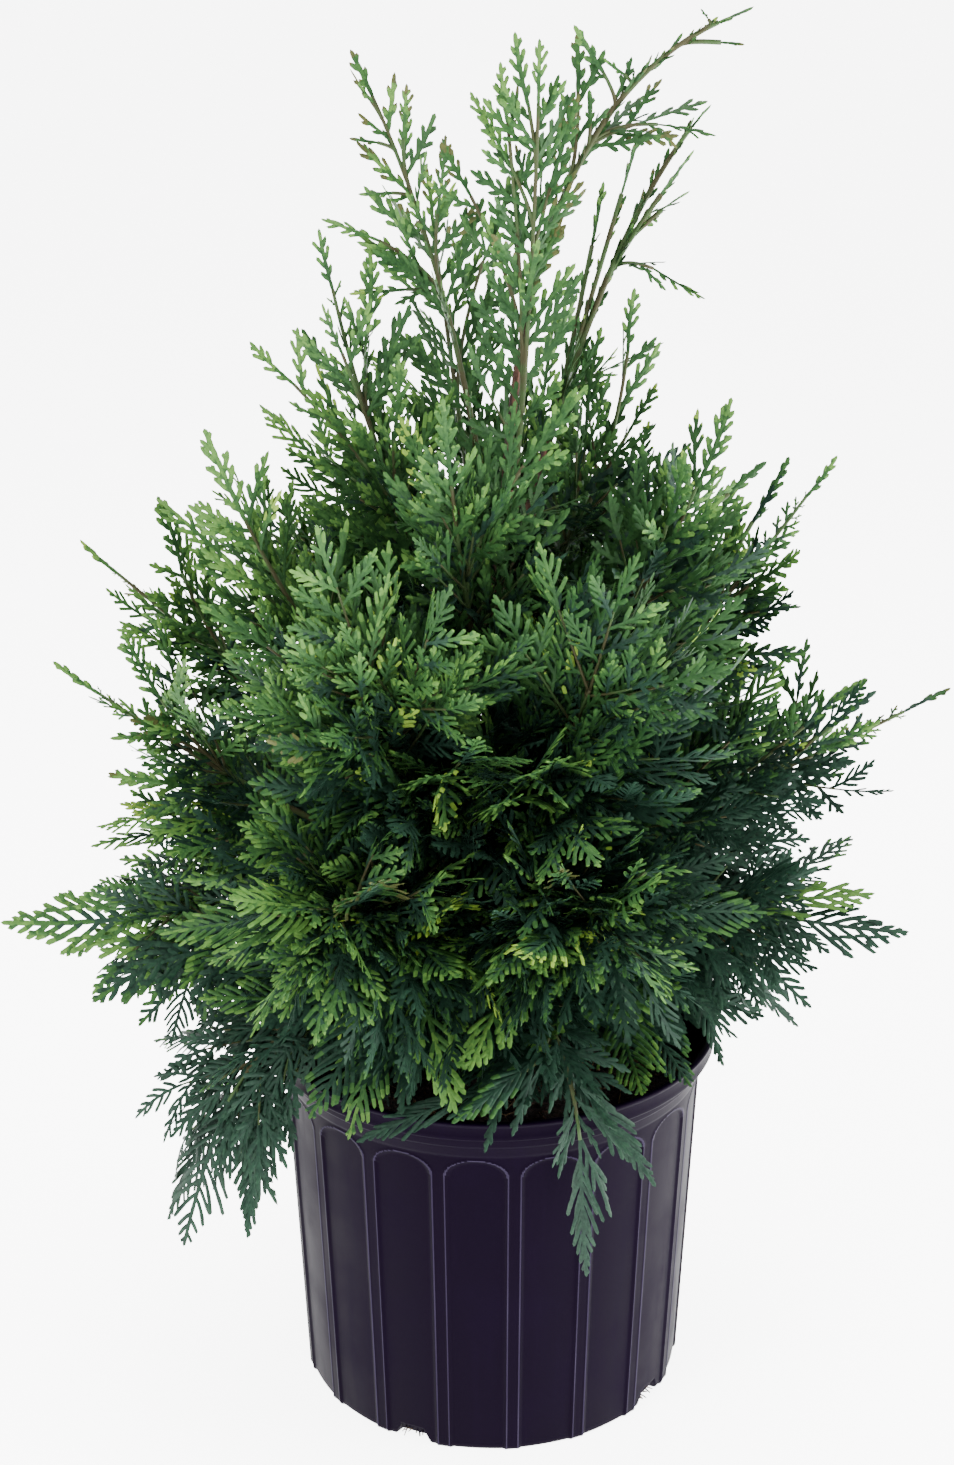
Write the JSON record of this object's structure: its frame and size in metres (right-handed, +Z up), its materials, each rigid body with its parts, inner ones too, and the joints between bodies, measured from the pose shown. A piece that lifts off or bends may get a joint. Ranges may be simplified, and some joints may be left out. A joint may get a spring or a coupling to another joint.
{
  "type": "potted arborvitae tree",
  "caption": "Young arborvitae of several leaders with flat fern-like sprays, in a fluted black nursery pot.",
  "frame": {"origin": "centre of the pot's flat underside", "axes": "+Z up along the pot's axis, -Y towards the viewer of the picture, +X to its right"},
  "size_m": [0.5719, 0.4688, 0.8378],
  "materials": {
    "pot": "satin moulded black plastic with a purple cast",
    "soil": "dark moist bark potting mix",
    "bark": "thin reddish-brown fibrous bark",
    "foliage": "scale leaves, deep to bright green with yellow-green and bronze tips"
  },
  "bodies": {
    "root": {"leader_back": "foliage", "leader_back_bough": "bark", "leader_left": "foliage", "leader_left_bough": "bark", "leader_middle": "foliage", "leader_middle_bough": "bark", "leader_outer": "foliage", "leader_outer_bough": "bark", "leader_right": "foliage", "low_back_left": "foliage", "low_back_left_bough": "bark", "low_back_right": "foliage", "low_back_right_bough": "bark", "low_front_left": "foliage", "low_front_left_bough": "bark", "low_front_right": "foliage", "low_front_right_bough": "bark", "low_left": "foliage", "low_left_bough": "bark", "low_right": "foliage", "low_right_bough": "bark", "mid_back_left": "foliage", "mid_back_left_bough": "bark", "mid_back_right": "foliage", "mid_back_right_bough": "bark", "mid_front_left": "foliage", "mid_front_left_bough": "bark", "mid_front_right": "foliage", "mid_front_right_bough": "bark", "mid_left": "foliage", "mid_left_bough": "bark", "mid_right": "foliage", "mid_right_bough": "bark", "mid_right_high": "foliage", "mid_right_high_bough": "bark", "pot": "pot", "side_left": "foliage", "side_left_bough": "bark", "side_left_low": "foliage", "side_left_low_bough": "bark", "side_right": "foliage", "side_right_bough": "bark", "skirt_back": "foliage", "skirt_back_bough": "bark", "skirt_front": "foliage", "skirt_front_bough": "bark", "skirt_left": "foliage", "skirt_left_bough": "bark", "skirt_right": "foliage", "skirt_right_bough": "bark", "soil": "soil", "trunk": "bark", "upper_back": "foliage", "upper_back_bough": "bark", "upper_front": "foliage", "upper_front_bough": "bark", "upper_left": "foliage", "upper_left_bough": "bark", "upper_right": "foliage", "upper_right_bough": "bark"}
  },
  "joints": []
}
